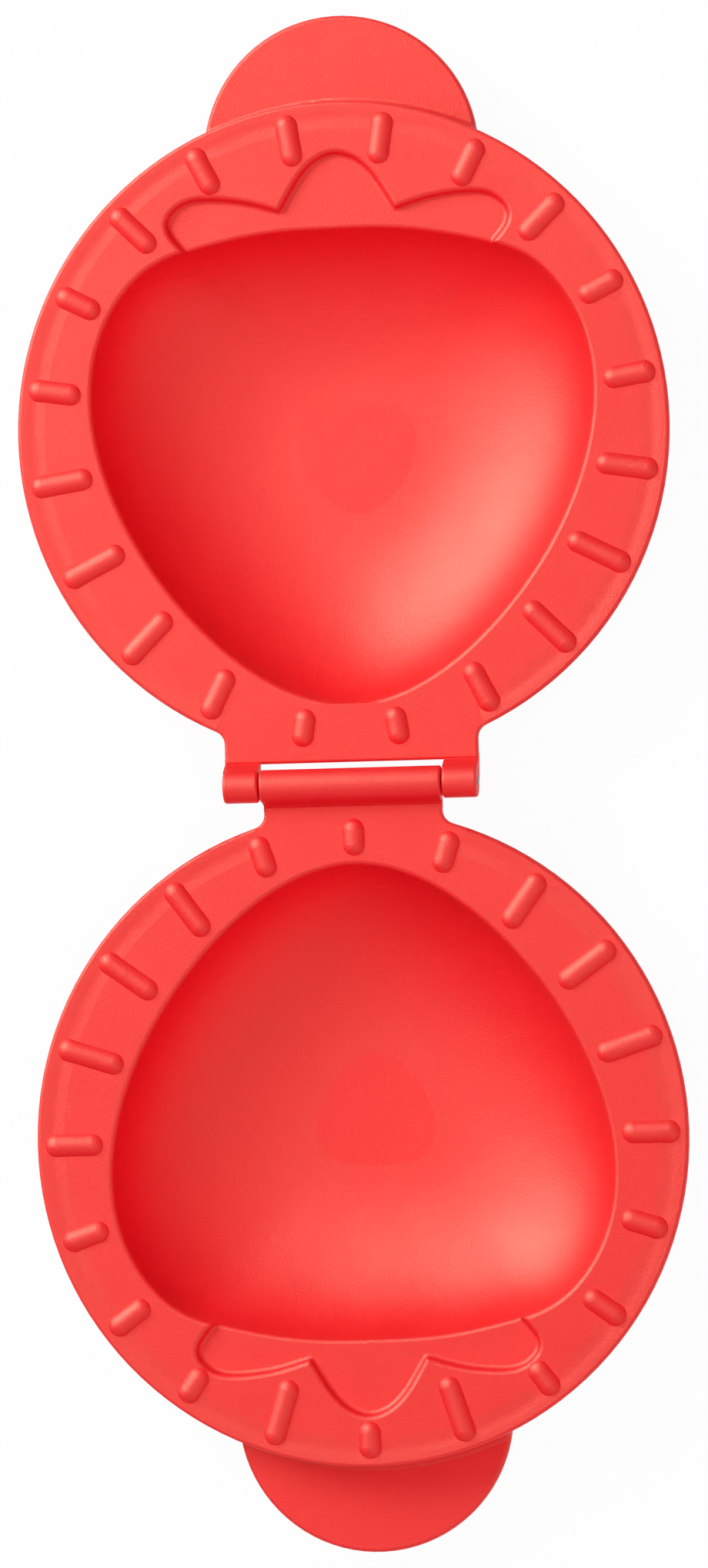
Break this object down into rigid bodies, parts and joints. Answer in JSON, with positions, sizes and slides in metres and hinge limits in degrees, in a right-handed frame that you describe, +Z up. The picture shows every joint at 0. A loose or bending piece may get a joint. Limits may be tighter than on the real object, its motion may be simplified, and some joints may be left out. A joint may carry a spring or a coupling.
{
  "type": "hinged hand pie press",
  "caption": "Folding press for strawberry-shaped hand pies: two hinged round plates with bowls, crimping ribs and thumb tabs.",
  "frame": {"origin": "on the table under the middle of the hinge, with the press opened flat", "axes": "+X along the hinge, +Y from the half with the middle barrel to the half with the two outer knuckles, +Z up out of the bowls"},
  "size_m": [0.12, 0.282, 0.0287],
  "materials": {
    "red_plastic": "fine matte moulded texture",
    "pin_steel": "drawn wire, plain"
  },
  "bodies": {
    "lower": {"lower_half": "red_plastic"},
    "upper": {"upper_half": "red_plastic", "hinge_pin": "pin_steel"}
  },
  "joints": [
    {"name": "fold", "type": "hinge", "parent": "lower", "child": "upper", "pos_m": [0, 0, 0.02575], "axis": [1, 0, 0], "range_deg": [-90, 180]}
  ]
}
